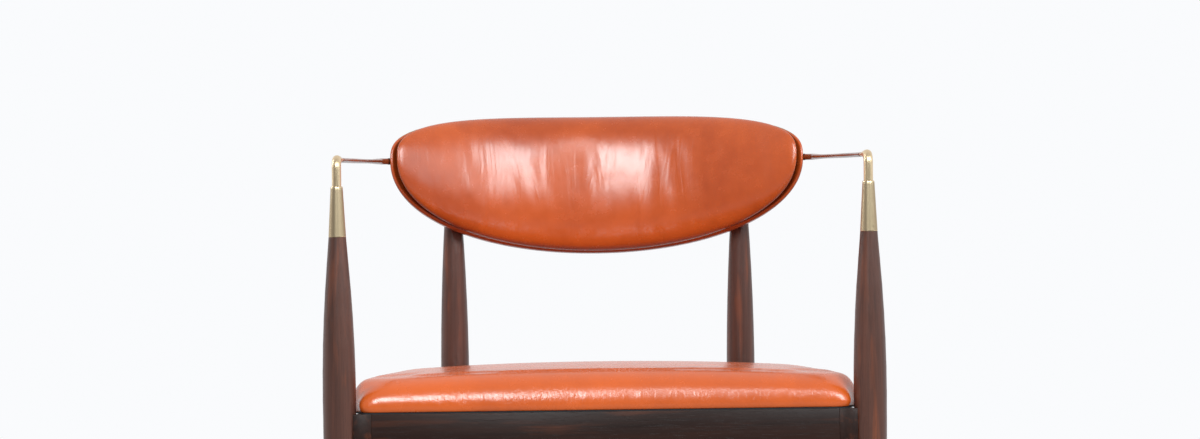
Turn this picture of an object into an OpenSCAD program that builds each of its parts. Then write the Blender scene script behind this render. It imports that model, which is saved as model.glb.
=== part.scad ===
// Armchair with turned walnut legs, brass arm rods and an upholstered seat and back.
// Millimetres. The floor is z = 0, +X is the right of the chair seen from its front, +Y is its back.

/* [Front legs] */
// Distance between the centres of the front legs
front_leg_spacing = 588; // [560:1:620]
// Radius of a front leg where it is thickest
front_leg_r = 18.4; // [17.5:0.1:20]
// Radius of a front leg at its foot
front_foot_r = 12.5; // [11.5:0.1:14]
// Height at which a front leg is thickest
front_bulge_z = 425; // [415:1:440]
// Length over which a front leg's upper taper grows
front_ease = 135; // [110:1:150]
// Slope of a front leg's upper taper once it has grown
front_taper = 0.08; // [0.07:0.005:0.085]

/* [Rear legs] */
// Distance between the centres of the rear legs
rear_leg_spacing = 370; // [340:1:386]
// Distance of the rear legs behind the front legs
rear_leg_depth = 430; // [415:1:450]
// Radius of a rear leg where it is thickest
rear_leg_r = 18.2; // [17.5:0.1:19.5]
// Radius of a rear leg at its foot
rear_foot_r = 12.5; // [11.5:0.1:14]
// Height at which a rear leg is thickest
rear_bulge_z = 400; // [390:1:420]
// Length over which a rear leg's upper taper grows
rear_ease = 250; // [230:1:280]
// Slope of a rear leg's upper taper once it has grown
rear_taper = 0.075; // [0.06:0.005:0.08]
// Height of the top of a rear leg
rear_leg_top_z = 655; // [645:1:665]

/* [Ferrules and arm rods] */
// Height of the lower end of a ferrule
ferrule_z = 602; // [590:1:610]
// Length of a ferrule
ferrule_l = 56; // [50:1:60]
// Radius of a ferrule at its top
ferrule_top_r = 6.65; // [6.3:0.05:7.2]
// Wall of a ferrule's socket
ferrule_wall = 1.6; // [1.2:0.1:2]
// Length of the solid top of a ferrule, which holds the rod
ferrule_cap = 18; // [14:1:22]
// Radius of a ferrule's pin
pin_r = 0.9; // [0.6:0.1:1.2]
// Height of the pin above the lower end of its ferrule
pin_rise = 5.4; // [4:0.1:7]
// Radius of an arm rod
rod_r = 5.15; // [4.8:0.05:5.5]
// Height of the middle of an arm
arm_z = 687.5; // [680:0.5:696]
// Radius of an arm rod's bend, at its middle
rod_bend_r = 9; // [7:0.5:12]
// Width of an arm rod where it is forged flat
flat_w = 26; // [20:0.5:30]
// Thickness of an arm rod where it is forged flat
flat_t = 3; // [2.6:0.1:3.6]
// Radius of an arm rod's tail
tail_r = 2.8; // [2.6:0.1:3.3]
// Length of the tail inside the back
tail_l = 42; // [30:1:50]
// Thickness of the leather on an arm
arm_leather_t = 1; // [0.8:0.1:1.4]

/* [Seat frame] */
// Height of the top of the front rail at the front legs
rail_top_z = 406; // [395:1:412]
// Slope of the seat, down to the back, in degrees
seat_slope = 3.4; // [2.5:0.1:4]
// Height of the rails
rail_h = 64; // [60:1:72]
// Thickness of the rails
rail_t = 20; // [18:0.5:22]
// How deep a front leg is cut flat for its side rail
leg_flat = 1.9; // [1:0.1:3]
// How deep a rear leg is cut flat for the rear rail
rear_leg_flat = 6; // [4:0.5:8]
// Width of the seat frame at the rear legs, measured outside the side rails
frame_rear_w = 456; // [444:1:480]
// Radius of a dowel
dowel_r = 5; // [4:0.1:5.5]
// Length of a corner block along each rail
block_l = 48; // [42:1:54]
// Height of a corner block
block_h = 20; // [16:1:22]

/* [Seat] */
// Thickness of the seat board
seat_board_t = 12; // [9:0.5:14]
// Height of the seat's front shoulder above the rails, at the sides
seat_side_h = 37; // [33:0.5:39]
// How far the seat crowns from side to side
seat_crown_x = 8; // [5:0.5:13]
// How far the seat crowns from front to back
seat_crown_y = 4; // [2:0.5:8]
// Width of the roll along the seat's front and rear upper edges
seat_roll = 28; // [24:0.5:32]
// Width of the roll along the seat's sides
seat_side_roll = 19; // [16:0.5:24]
// Radius of the seat's corners, seen from above
seat_corner_r = 14; // [12:0.5:20]
// How far the seat's lower edge is drawn in under its sides
seat_tuck = 3; // [2:0.5:4]
// How far the seat's sides and back edge pull in between the corners
seat_pull_in = 3; // [1:0.5:4]
// How far the seat widens over the side rails, behind the front legs
seat_overhang = 16; // [10:0.5:18]
// How far the seat stands in front of the front legs' centres
seat_front = 13; // [11:0.5:16]
// Gap between the seat and the rear legs
seat_rear_gap = 2; // [1:0.5:4]
// Height of the seat's fullest line above its lower edge
seat_fullest = 8; // [6:0.5:12]
// Thickness of the upholstery leather
leather_t = 1.5; // [1.2:0.1:1.8]
// Thickness of the cloth under the seat
dust_cover_t = 1.5; // [1:0.1:2]

/* [Back] */
// Overall width of the back
back_w = 520; // [500:1:535]
// Rise of the back's top edge above the arms
back_rise = 55; // [48:1:60]
// Drop of the back's lower edge below the arms
back_drop = 122; // [115:1:130]
// Recline of the back, in degrees
back_recline = 9; // [7:0.5:11]
// Radius to which the back is bent, at the middle of the shell board
back_bend_r = 352; // [335:1:380]
// Thickness of the shell board
shell_board_t = 17; // [15:0.5:19]
// How far the front pad lies inside the shell's outline at its ends
pad_inset = 5; // [3:0.5:7]
// Thickness of the pad board
pad_board_t = 6; // [4:0.5:8]
// Thickness of the front pad at its middle
pad_t = 42; // [36:0.5:48]
// Distance from the shell to the pad's fullest edge
pad_bulge = 11; // [9:0.5:14]
// Share by which the pad thins out to its ends
pad_thinning = 0.4; // [0.2:0.05:0.5]
// How deep a rear leg is coped to the back
leg_cope = 4; // [3:0.5:5]
// Distance from a rear leg's top down to the middle of its two screws
back_screw_drop = 32; // [26:1:40]
// Distance between the two screws of a rear leg
back_screw_pitch = 22; // [16:1:30]

/* [Small parts] */
// Clearance round pins, dowels and screws
clear = 0.2; // [0.15:0.05:0.3]
// Gap that is left between neighbouring soft or curved faces
gap = 0.3; // [0.25:0.05:0.4]
// Radius of a screw's shank
screw_r = 2.2; // [2:0.1:2.6]
// Radius of a screw's head
screw_head_r = 4.2; // [3.8:0.1:5]
// Height of a screw's head
screw_head_h = 2.6; // [2:0.1:3]
// Radius of a foot glide
glide_r = 10; // [8:0.1:11]
// Height of a foot glide
glide_h = 3; // [2:0.1:4]

/* [Hidden] */
$fn = 64;

walnut = [0.24, 0.14, 0.11];
brass = [0.72, 0.62, 0.44];
cognac = [0.78, 0.34, 0.16];
plywood = [0.72, 0.56, 0.38];
foam = [0.90, 0.86, 0.72];
steel = [0.60, 0.60, 0.62];
black = [0.08, 0.08, 0.08];

// Radius of a leg at height z: thickest at bulge_z, eased into a straight taper above and below
function leg_radius(z, r, foot_r, bulge_z, ease, taper) =
    z < bulge_z
        ? r - (r - foot_r) * pow((bulge_z - z) / (bulge_z - glide_h), 1.35)
        : z < bulge_z + ease
            ? r - taper * pow(z - bulge_z, 2) / (2 * ease)
            : r - taper * (z - bulge_z - ease / 2);
function front_r(z) = leg_radius(z, front_leg_r, front_foot_r, front_bulge_z, front_ease, front_taper);
function rear_r(z) = leg_radius(z, rear_leg_r, rear_foot_r, rear_bulge_z, rear_ease, rear_taper);

// Layers of the back, as radii from the axis it is bent about
shell_rear_r = back_bend_r + shell_board_t / 2 + 2 * clear + leather_t;
shell_front_r = back_bend_r - shell_board_t / 2 - clear - leather_t;
pad_rear_r = shell_front_r - gap;
pad_board_rear_r = pad_rear_r - leather_t - clear;
pad_board_front_r = pad_board_rear_r - pad_board_t;
shell_roll = 5;

back_half = back_w / 2;
tip_angle = asin(back_half / back_bend_r);
tip_y = back_bend_r * cos(tip_angle);
back_axis_z = arm_z + tip_y * sin(back_recline);

// The back rests on the rear legs at the height of its screws
back_screw_z = rear_leg_top_z - back_screw_drop;
leg_contact = rear_r(back_screw_z) - leg_cope;
leg_angle = asin(rear_leg_spacing / 2 / (shell_rear_r + leg_contact));
contact_y = shell_rear_r * cos(leg_angle);
contact_z = (back_screw_z - back_axis_z + contact_y * sin(back_recline)) / cos(back_recline);
back_axis_depth = rear_leg_depth - leg_contact * cos(leg_angle)
    - contact_y * cos(back_recline) - contact_z * sin(back_recline);

// The chair's depth is centred on the origin
top_reach = sheared(0, back_rise - shell_roll);
back_reach = back_axis_depth + shell_rear_r * cos(back_recline) + top_reach * sin(back_recline);
front_y = -(back_reach - front_leg_r) / 2;
rear_y = front_y + rear_leg_depth;

// Seat frame in its own sloping frame: y from the front legs' centres, z from the rails' tops
rail_x0 = front_leg_spacing / 2 - front_leg_r + leg_flat;
rear_rail_y1 = rear_leg_depth - rear_leg_r + rear_leg_flat;
frame_tan = (rail_x0 - frame_rear_w / 2) / rear_rail_y1;
frame_angle = atan(frame_tan);
rail_y0 = -rail_t / 2;
rail_skew = rail_t / cos(frame_angle);
dowel_rows = [-rail_h * 0.28, -rail_h * 0.72];
leg_screw_rows = [-rail_h * 0.56, -rail_h * 0.84];
block_top = -8;
block_screw_z = block_top - block_h / 2;

// Seat in the same frame
seat_z0 = dust_cover_t;
seat_x0 = front_leg_spacing / 2 - front_leg_r - 2 * gap;
seat_y1 = rear_leg_depth - rear_leg_r - seat_rear_gap;
seat_mid_z = seat_z0 + seat_fullest;
board_inset = seat_tuck + leather_t + 1;
board_z0 = seat_z0 + leather_t + clear;
foam_z0 = board_z0 + seat_board_t;

// Half width of the frame's outer line, of its inner line and of the seat, at depth y
function frame_x(y) = rail_x0 - y * frame_tan;
function inner_x(y) = frame_x(y) - rail_skew;
function seat_x(y) = seat_x0 - y * frame_tan + seat_overhang * ease(y, 2, 38);

// Triangles between neighbouring rings of n points; with bands = rings the last joins the first.
// A foam's quads are split the other way than the inside of its leather, which runs upwards.
function band_faces(n, rings, bands, other_way = false) =
    [for (j = [0 : bands - 1], i = [0 : n - 1], k = [0, 1])
        let (
            next = (i + 1) % n,
            a = j * n + i,
            b = j * n + next,
            c = ((j + 1) % rings) * n + i,
            d = ((j + 1) % rings) * n + next
        )
        other_way ? (k == 0 ? [a, b, d] : [a, d, c]) : (k == 0 ? [a, b, c] : [b, d, c])];

// A skin over rings, closed at each end round a middle point
module skin(rings, first, last, other_way = false) {
    n = len(rings[0]);
    m = len(rings);
    polyhedron(points = concat([for (r = rings) each r], [first, last]),
        faces = concat(
            [for (i = [0 : n - 1]) [m * n, (i + 1) % n, i]],
            band_faces(n, m, m - 1, other_way),
            [for (i = [0 : n - 1]) [m * n + 1, (m - 1) * n + i, (m - 1) * n + (i + 1) % n]]));
}

// A skin over rings, closed at each end by strips across the ring, from point i to point n - i
module bent_skin(rings) {
    n = len(rings[0]);
    m = len(rings);
    h = n / 2;
    e = (m - 1) * n;
    polyhedron(points = [for (r = rings) each r],
        faces = concat(
            [for (i = [1 : h - 1]) [i + 1, i, n - i]],
            [for (i = [0 : h - 2]) [i + 1, (n - i) % n, n - i - 1]],
            band_faces(n, m, m - 1),
            [for (i = [1 : h - 1]) [e + i, e + i + 1, e + n - i]],
            [for (i = [0 : h - 2]) [e + (n - i) % n, e + i + 1, e + n - i - 1]]));
}

module mirrored() {
    children();
    mirror([1, 0, 0]) children();
}

module in_seat() {
    translate([0, front_y, rail_top_z]) rotate([-seat_slope, 0, 0]) children();
}

module in_back() {
    translate([0, front_y + back_axis_depth, back_axis_z]) rotate([-back_recline, 0, 0]) children();
}

// Legs

module turned_leg(z_list, r_list, x, y) {
    translate([x, y, 0]) rotate_extrude()
        polygon(concat([[0, z_list[0]]],
            [for (i = [0 : len(z_list) - 1]) [r_list[i], z_list[i]]],
            [[0, z_list[len(z_list) - 1]]]));
}

tenon_l = ferrule_l - ferrule_cap;
socket_r0 = front_r(ferrule_z) - ferrule_wall;
socket_r1 = ferrule_top_r + (front_r(ferrule_z) - ferrule_top_r) * ferrule_cap / ferrule_l - ferrule_wall;
leg_edge = 1.5;
top_edge = 4;

module front_leg() {
    zs = [for (i = [0 : 20]) glide_h + leg_edge + (ferrule_z - glide_h - leg_edge) * i / 20];
    difference() {
        turned_leg(
            concat([glide_h], zs, [ferrule_z, ferrule_z + tenon_l - clear]),
            concat([front_foot_r - leg_edge], [for (z = zs) front_r(z)],
                [socket_r0 - clear, socket_r1 - clear]),
            front_leg_spacing / 2, front_y);
        in_seat() side_rail_envelope();
        in_seat() front_dowel_axes() front_dowel(clear);
        translate([front_leg_spacing / 2, front_y, 0]) cylinder(r = glide_pin_r + clear, h = glide_pin_l + 1);
        pin_axis() translate([0, 0, -pin_l - clear]) cylinder(r = pin_r + clear / 2, h = pin_l + 5);
    }
}

module rear_leg() {
    zs = [for (i = [0 : 18]) glide_h + leg_edge + (rear_leg_top_z - top_edge - glide_h - leg_edge) * i / 18];
    top_r = rear_r(rear_leg_top_z);
    difference() {
        turned_leg(
            concat([glide_h], zs, [rear_leg_top_z - 0.3 * top_edge, rear_leg_top_z]),
            concat([rear_foot_r - leg_edge], [for (z = zs) rear_r(z)],
                [top_r - 0.3 * top_edge, top_r - top_edge]),
            rear_leg_spacing / 2, rear_y);
        in_seat() rear_rail_envelope();
        in_seat() leg_screw_axes() cylinder(r = screw_r + clear, h = leg_screw_l + clear);
        in_back() cylinder(r = shell_rear_r + gap, h = 3 * back_drop, center = true, $fn = 128);
        back_screw_axes() back_screw_bore();
        translate([rear_leg_spacing / 2, rear_y, 0]) cylinder(r = glide_pin_r + clear, h = glide_pin_l + 1);
    }
}

module front_leg_right() { color(walnut) front_leg(); }
module front_leg_left() { color(walnut) mirror([1, 0, 0]) front_leg(); }
module rear_leg_right() { color(walnut) rear_leg(); }
module rear_leg_left() { color(walnut) mirror([1, 0, 0]) rear_leg(); }

// Foot glides

glide_pin_r = 1.5;
glide_pin_l = 15;

module glide(x, y) {
    translate([x, y, 0]) rotate_extrude() polygon([
        [0, 0], [glide_r - 1, 0], [glide_r, 1], [glide_r, glide_h],
        [glide_pin_r, glide_h], [glide_pin_r, glide_pin_l], [0, glide_pin_l]]);
}

module foot_glides() {
    color(black) mirrored() {
        glide(front_leg_spacing / 2, front_y);
        glide(rear_leg_spacing / 2, rear_y);
    }
}

// Ferrules and their pins

rod_bore = rod_r + clear;
rim = 0.8;

module ferrule() {
    translate([front_leg_spacing / 2, front_y, 0]) difference() {
        rotate_extrude() polygon([
            [0, ferrule_z], [front_r(ferrule_z) - 0.3, ferrule_z], [front_r(ferrule_z), ferrule_z + 0.5],
            [ferrule_top_r, ferrule_z + ferrule_l - rim], [ferrule_top_r - 0.5, ferrule_z + ferrule_l],
            [0, ferrule_z + ferrule_l]]);
        rotate_extrude() polygon([
            [0, ferrule_z - 1], [socket_r0, ferrule_z - 1], [socket_r0, ferrule_z],
            [socket_r1, ferrule_z + tenon_l], [0, ferrule_z + tenon_l]]);
        translate([0, 0, ferrule_z + tenon_l - 1]) cylinder(r = rod_bore, h = ferrule_cap + 2);
    }
}

module pinned_ferrule() {
    difference() {
        ferrule();
        pin_axis() translate([0, 0, -pin_l - clear]) cylinder(r = pin_r + clear / 2, h = pin_l + 5);
    }
}

module ferrule_right() { color(brass) pinned_ferrule(); }
module ferrule_left() { color(brass) mirror([1, 0, 0]) pinned_ferrule(); }

pin_turn = 24;
pin_l = 8;

// Frame at the pin's outer end, its z axis pointing out of the ferrule
module pin_axis() {
    translate([front_leg_spacing / 2, front_y, ferrule_z + pin_rise])
        rotate([0, 0, pin_turn - 90]) rotate([0, 90, 0])
        translate([0, 0, front_r(ferrule_z) - 0.35]) children();
}

module ferrule_pins() {
    color(brass) mirrored() pin_axis() {
        translate([0, 0, -pin_l]) cylinder(r = pin_r, h = pin_l);
    }
}

// Arm rods: upright in the ferrule, bent back, forged flat, and turned in to the back's end

grommet_out = 3.5;
arm_bow = 3;
arm_reach = 150;
arm_turn = 52;
tail_x = back_half;
tail_depth = back_axis_depth + tip_y * cos(back_recline);
tail_heading = 180 - tip_angle;
tail_dir = [cos(tail_heading), sin(tail_heading)];
arm_x = front_leg_spacing / 2;
rod_z0 = ferrule_z + tenon_l;
arm_rings = 26;
ring_n = 16;

p0 = [arm_x, rod_bend_r];
p1 = [arm_x + arm_bow, rod_bend_r + arm_reach];
p3 = [tail_x, tail_depth] - (grommet_out + gap) * tail_dir;
p2 = p3 - arm_turn * tail_dir;

function bezier(t) =
    pow(1 - t, 3) * p0 + 3 * t * pow(1 - t, 2) * p1 + 3 * t * t * (1 - t) * p2 + pow(t, 3) * p3;
function bezier_dir(t) =
    let (d = pow(1 - t, 2) * (p1 - p0) + 2 * t * (1 - t) * (p2 - p1) + t * t * (p3 - p2))
    d / norm(d);

// The rod is round at both ends, thins out fast behind the bend, and widens slowly
function ease(t, a, b) = let (k = max(0, min(1, (t - a) / (b - a)))) k * k * (3 - 2 * k);
function thinness(t) = ease(t, 0, 0.1) * (1 - ease(t, 0.80, 0.92));
function flatness(t) = ease(t, 0.06, 0.36) * (1 - ease(t, 0.80, 0.92));
function round_r(t) = t < 0.5 ? rod_r : tail_r;
function half_w(t) = round_r(t) + (flat_w / 2 * (1 - 0.22 * t) - round_r(t)) * flatness(t);
function half_t(t) = round_r(t) + (flat_t / 2 - round_r(t)) * thinness(t);

// One ring round a point of the rod, in the plane of side and up
function section(at, side, up, w, t, power) = [for (i = [0 : ring_n - 1])
    let (a = 360 * i / ring_n, c = cos(a), s = sin(a))
    at + side * w * sign(c) * pow(abs(c), 2 / power) + up * t * sign(s) * pow(abs(s), 2 / power)];

function level_ring(t, more) =
    let (p = bezier(t), d = bezier_dir(t))
    section([p[0], front_y + p[1], arm_z], [d[1], -d[0], 0], [0, 0, 1],
        half_w(t) + more, half_t(t) + more, 2 + 2 * flatness(t));

function upright_ring(z) = section([arm_x, front_y, z], [1, 0, 0], [0, -1, 0], rod_r, rod_r, 2);
function bend_ring(a) = section(
    [arm_x, front_y + rod_bend_r * (1 - cos(a)), arm_z - rod_bend_r * (1 - sin(a))],
    [1, 0, 0], [0, -cos(a), sin(a)], rod_r, rod_r, 2);
function tail_ring(s) = section(
    [tail_x + s * tail_dir[0], front_y + tail_depth + s * tail_dir[1], arm_z],
    [tail_dir[1], -tail_dir[0], 0], [0, 0, 1], tail_r, tail_r, 2);

module arm_rod() {
    rings = concat(
        [upright_ring(rod_z0 + clear)],
        [for (a = [0 : 15 : 75]) bend_ring(a)],
        [for (i = [0 : arm_rings]) level_ring(i / arm_rings, 0)],
        [tail_ring(tail_l)]);
    skin(rings, [arm_x, front_y, rod_z0 + clear],
        [tail_x + tail_l * tail_dir[0], front_y + tail_depth + tail_l * tail_dir[1], arm_z]);
}

module arm_rod_right() { color(brass) arm_rod(); }
module arm_rod_left() { color(brass) mirror([1, 0, 0]) arm_rod(); }

leather_from = 2;

module arm_leather() {
    rings = concat(
        [for (i = [leather_from : arm_rings]) level_ring(i / arm_rings, arm_leather_t)],
        [for (i = [arm_rings : -1 : leather_from]) level_ring(i / arm_rings, clear)]);
    polyhedron(points = [for (r = rings) each r], faces = band_faces(ring_n, len(rings), len(rings)));
}

module arm_leather_right() { color(cognac) arm_leather(); }
module arm_leather_left() { color(cognac) mirror([1, 0, 0]) arm_leather(); }

// Dark grommets where the arms enter the back

grommet_wall = 1.3;
grommet_r = tail_r + grommet_wall;
grommet_in = 7;

// Frame at the end of the back, its z axis along the tail
module tail_axis() {
    translate([tail_x, front_y + tail_depth, arm_z])
        rotate([0, 0, tail_heading]) rotate([0, 90, 0]) children();
}

module arm_grommets() {
    color(black) mirrored() tail_axis() translate([0, 0, -grommet_out]) difference() {
        cylinder(r = grommet_r, h = grommet_out + grommet_in);
        translate([0, 0, -1]) cylinder(r = tail_r + clear, h = grommet_out + grommet_in + 2);
    }
}

module tail_bores() {
    mirrored() tail_axis() {
        cylinder(r = tail_r + clear, h = tail_l + 1);
        translate([0, 0, -2 * grommet_out])
            cylinder(r = grommet_r + clear, h = 2 * grommet_out + grommet_in + clear);
    }
}

// Seat frame

front_dowel_l = 15;
dowel_in_rail = 26;
dowel_in_side = 12;

module rail_prism(points) {
    translate([0, 0, -rail_h]) linear_extrude(rail_h) polygon(points);
}

module side_rail_plan(y0, y1) {
    polygon([[inner_x(y0), y0], [frame_x(y0), y0], [frame_x(y1), y1], [inner_x(y1), y1]]);
}

module side_rail_envelope() {
    translate([0, 0, -rail_h - gap]) linear_extrude(rail_h + 2 * gap) side_rail_plan(-60, 60);
}

module rear_rail_envelope() {
    translate([-rear_leg_spacing, rear_rail_y1 - 60, -rail_h - gap])
        cube([2 * rear_leg_spacing, 60, rail_h + 2 * gap]);
}

// Frames on the dowels, their z axes pointing outwards
module front_dowel_axes() {
    for (z = dowel_rows) translate([rail_x0, 0, z]) rotate([0, 90, 0]) children();
}

module rear_dowel_axes() {
    y = rear_rail_y1 - rail_t / 2;
    for (z = dowel_rows) translate([inner_x(y), y, z]) rotate([0, 90, 0]) children();
}

module front_dowel(extra) {
    translate([0, 0, -rail_skew - dowel_in_rail - extra])
        cylinder(r = dowel_r + extra, h = rail_skew + dowel_in_rail + front_dowel_l + 2 * extra);
}

module rear_dowel(extra) {
    translate([0, 0, -dowel_in_rail - extra])
        cylinder(r = dowel_r + extra, h = dowel_in_rail + dowel_in_side + 2 * extra);
}

module dowel_bores() {
    mirrored() {
        front_dowel_axes() front_dowel(clear);
        rear_dowel_axes() rear_dowel(clear);
    }
}

module rail_dowels() {
    color(plywood) in_seat() mirrored() {
        front_dowel_axes() front_dowel(0);
        rear_dowel_axes() rear_dowel(0);
    }
}

module cross_rail(y0, y1) {
    rail_prism([[-inner_x(y0), y0], [inner_x(y0), y0], [inner_x(y1), y1], [-inner_x(y1), y1]]);
}

module front_rail() {
    color(walnut) in_seat() difference() {
        cross_rail(rail_y0, rail_y0 + rail_t);
        dowel_bores();
        mirrored() block_screw_axes() block_screw_bore();
    }
}

module rear_rail() {
    color(walnut) in_seat() difference() {
        cross_rail(rear_rail_y1 - rail_t, rear_rail_y1);
        dowel_bores();
        mirrored() leg_screw_axes() translate([0, 0, -50]) cylinder(r = screw_r + clear, h = 60);
        mirrored() block_screw_axes() block_screw_bore();
    }
}

module side_rail() {
    in_seat() difference() {
        translate([0, 0, -rail_h]) linear_extrude(rail_h) side_rail_plan(rail_y0, rear_rail_y1);
        dowel_bores();
        block_screw_axes() block_screw_bore();
    }
}

module side_rail_right() { color(walnut) side_rail(); }
module side_rail_left() { color(walnut) mirror([1, 0, 0]) side_rail(); }

// Screws from inside the rear rail into the rear legs

leg_screw_l = 22;

module leg_screw_axes() {
    for (z = leg_screw_rows)
        translate([rear_leg_spacing / 2, rear_rail_y1, z]) rotate([-90, 0, 0]) children();
}

// A screw whose head lies under z = 0 and whose shank runs up to z = l
module screw(l) {
    translate([0, 0, -screw_head_h]) cylinder(r = screw_head_r, h = screw_head_h);
    translate([0, 0, -screw_head_h / 2]) cylinder(r = screw_r, h = l + screw_head_h / 2);
}

module rear_leg_screws() {
    color(steel) in_seat() mirrored() leg_screw_axes()
        translate([0, 0, -rail_t]) screw(rail_t + leg_screw_l);
}

// Corner blocks and their screws

front_corner_y = rail_y0 + rail_t;
rear_corner_y = rear_rail_y1 - rail_t;

module block_pair() {
    translate([0, 0, block_top - block_h]) linear_extrude(block_h) {
        polygon([[inner_x(front_corner_y), front_corner_y],
            [inner_x(front_corner_y + block_l), front_corner_y + block_l],
            [inner_x(front_corner_y) - block_l, front_corner_y]]);
        polygon([[inner_x(rear_corner_y), rear_corner_y],
            [inner_x(rear_corner_y) - block_l, rear_corner_y],
            [inner_x(rear_corner_y - block_l), rear_corner_y - block_l]]);
    }
}

block_screw_l = 12;
block_screw_at = block_l * 0.62;

// Frames on the sloping faces of the blocks, their z axes pointing into the rails
module block_screw_axes() {
    side_depth = block_l - block_screw_at;
    translate([inner_x(front_corner_y) - block_screw_at, front_corner_y + side_depth * 0.7, block_screw_z])
        rotate([90, 0, 0]) children();
    translate([inner_x(front_corner_y + block_screw_at) - side_depth * 0.7,
            front_corner_y + block_screw_at, block_screw_z])
        rotate([0, 90, 0]) children();
    translate([inner_x(rear_corner_y) - block_screw_at, rear_corner_y - side_depth * 0.7, block_screw_z])
        rotate([-90, 0, 0]) children();
    translate([inner_x(rear_corner_y - block_screw_at) - side_depth * 0.7,
            rear_corner_y - block_screw_at, block_screw_z])
        rotate([0, 90, 0]) children();
}

block_screw_reach = (block_l - block_screw_at) * 0.7 + block_screw_l;

module block_screw_bore() {
    translate([0, 0, -block_l]) cylinder(r = screw_head_r + clear, h = block_l);
    translate([0, 0, -1]) cylinder(r = screw_r + clear, h = block_screw_reach + 1 + clear);
}

module corner_blocks() {
    color(plywood) in_seat() mirrored() difference() {
        block_pair();
        block_screw_axes() block_screw_bore();
        seat_screw_axes() seat_screw_bore();
    }
}

module block_screws() {
    color(steel) in_seat() mirrored() block_screw_axes() screw(block_screw_reach);
}

// Screws from under the corner blocks into the seat board

seat_screw_at = block_l * 0.36;
seat_screw_l = block_h - block_top + board_z0 + seat_board_t - 3;

module seat_screw_axes() {
    front = front_corner_y + seat_screw_at;
    rear = rear_corner_y - seat_screw_at;
    z = block_top - block_h;
    translate([inner_x(front) - seat_screw_at, front, z]) children();
    translate([inner_x(rear) - seat_screw_at, rear, z]) children();
}

module seat_screw_bore() {
    translate([0, 0, -1]) cylinder(r = screw_r + clear, h = seat_screw_l + 1 + clear);
}

module seat_screws() {
    color(steel) in_seat() mirrored() seat_screw_axes() screw(seat_screw_l);
}

// Seat: an outline that can be drawn in, and rings of it at the heights of a crowned cushion

seat_sin = sin(frame_angle);
seat_cos = cos(frame_angle);
seat_mid_y = (seat_y1 - seat_front) / 2;
seat_half_l = (seat_y1 + seat_front) / 2;
front_n = 7;
rear_n = 5;
side_shares = [0.03, 0.06, 0.09, 0.14, 0.25, 0.42, 0.6, 0.8];

function arc(c, r, a0, a1) =
    [for (k = [0 : 4]) let (a = a0 + (a1 - a0) * k / 4) c + r * [cos(a), sin(a)]];
function edge(a, b, n, pull) =
    let (d = b - a, inward = [-d[1], d[0]] / norm(d))
    [for (k = [1 : n]) let (t = k / (n + 1)) a + d * t + inward * pull * 4 * t * (1 - t)];

function seat_side(y0, y1, inset) =
    [for (t = side_shares) let (y = y0 + (y1 - y0) * t)
        [seat_x(y) - inset / seat_cos - seat_pull_in * 4 * t * (1 - t), y]];

// The seat's outline, drawn in by inset at its front and rear and by side at its sides
function seat_outline(inset, side = -1) =
    let (
        across = side < 0 ? inset : side,
        r = max(seat_corner_r - inset, 3),
        y0 = -seat_front + inset,
        y1 = seat_y1 - inset,
        x_front = seat_x(y0) - across / seat_cos - (r + r * seat_sin) / seat_cos,
        x_rear = seat_x(y1) - across / seat_cos - (r - r * seat_sin) / seat_cos,
        front_right = arc([x_front, y0 + r], r, -90, frame_angle),
        rear_right = arc([x_rear, y1 - r], r, frame_angle, 90),
        rear_left = [for (k = [4 : -1 : 0]) [-rear_right[k][0], rear_right[k][1]]],
        front_left = [for (k = [4 : -1 : 0]) [-front_right[k][0], front_right[k][1]]],
        right = seat_side(front_right[4][1], rear_right[0][1], across),
        left = [for (p = reversed(right)) [-p[0], p[1]]]
    )
    concat(front_right, right, rear_right, edge(rear_right[4], rear_left[0], rear_n, seat_pull_in),
        rear_left, left, front_left, edge(front_left[4], front_right[0], front_n, 0));

function seat_top(p) = seat_side_h
    + seat_crown_x * (1 - pow(min(1, abs(p[0]) / seat_x(p[1])), 2.2))
    + seat_crown_y * (1 - pow(min(1, abs(p[1] - seat_mid_y) / seat_half_l), 2));

// Rings of the upper roll, less a wall: the outline is drawn in as the height grows
function roll_rings(wall, angles) = [for (a = angles)
    [for (p = seat_outline(
            wall + (seat_roll - wall) * (1 - cos(a)),
            wall + (seat_side_roll - wall) * (1 - cos(a))))
        [p[0], p[1], seat_mid_z + (seat_top(p) - wall - seat_mid_z) * sin(a)]]];

function crown_rings(wall, scales) =
    let (outer = seat_outline(seat_roll, seat_side_roll), middle = [0, seat_mid_y])
    [for (f = scales) [for (q = outer)
        let (p = middle + (q - middle) * f) [p[0], p[1], seat_top(p) - wall]]];

// Rings below the fullest line, drawn in towards the lower edge
function tuck_rings(wall, angles) = [for (a = angles)
    [for (p = seat_outline(wall + seat_tuck * (1 - cos(a))))
        [p[0], p[1], seat_mid_z - (seat_mid_z - seat_z0 - wall) * sin(a)]]];

function flat_ring(inset, z) = [for (p = seat_outline(inset)) [p[0], p[1], z]];
function seat_middle(wall) = [0, seat_mid_y, seat_top([0, seat_mid_y]) - wall];
turned_under = 18;

module seat_leather() {
    hem = seat_tuck + turned_under;
    rings = concat(
        crown_rings(0, [0.25, 0.5, 0.75]),
        roll_rings(0, [90, 70, 52, 34, 17, 0]),
        tuck_rings(0, [45, 90]),
        [flat_ring(hem, seat_z0), flat_ring(hem, seat_z0 + leather_t)],
        tuck_rings(leather_t, [90, 50]),
        roll_rings(leather_t, [18, 50, 90]),
        crown_rings(leather_t, [0.6, 0.3]));
    color(cognac) in_seat() skin(rings, seat_middle(0), seat_middle(leather_t));
}

module seat_foam() {
    wall = leather_t + gap;
    rings = concat(
        crown_rings(wall, [0.3, 0.6]),
        roll_rings(wall, [90, 50, 18]),
        [flat_ring(board_inset, foam_z0)]);
    color(foam) in_seat() skin(rings, seat_middle(wall), [0, seat_mid_y, foam_z0], true);
}

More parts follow.
